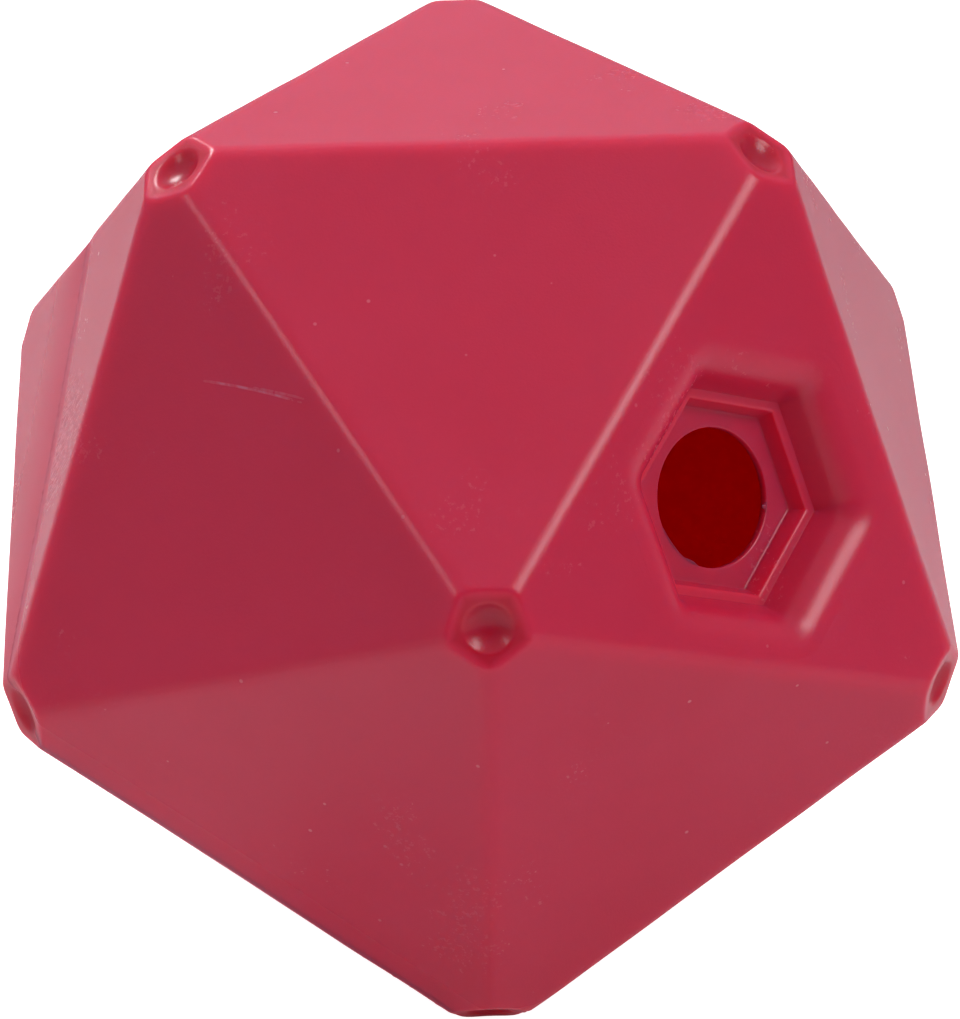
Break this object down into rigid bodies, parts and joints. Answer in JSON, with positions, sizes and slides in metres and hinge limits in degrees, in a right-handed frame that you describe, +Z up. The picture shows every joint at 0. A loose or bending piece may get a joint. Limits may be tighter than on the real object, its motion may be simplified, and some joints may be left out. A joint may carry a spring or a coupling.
{
  "type": "feed ball",
  "caption": "Hollow moulded plastic feed ball with flat triangular faces, dimpled corners and a stepped hexagonal pocket with a round feed port.",
  "frame": {"origin": "centre of the triangular face the ball rests on", "axes": "+Z up; the face with the feed port looks along -Y and slightly upwards; +X to the right of the port"},
  "size_m": [0.2682, 0.2552, 0.2267],
  "materials": {
    "shell": "satin",
    "weld": "satin"
  },
  "bodies": {
    "root": {"front_half_shell": "shell", "rear_half_shell": "shell", "seam_weld": "weld"}
  },
  "joints": []
}
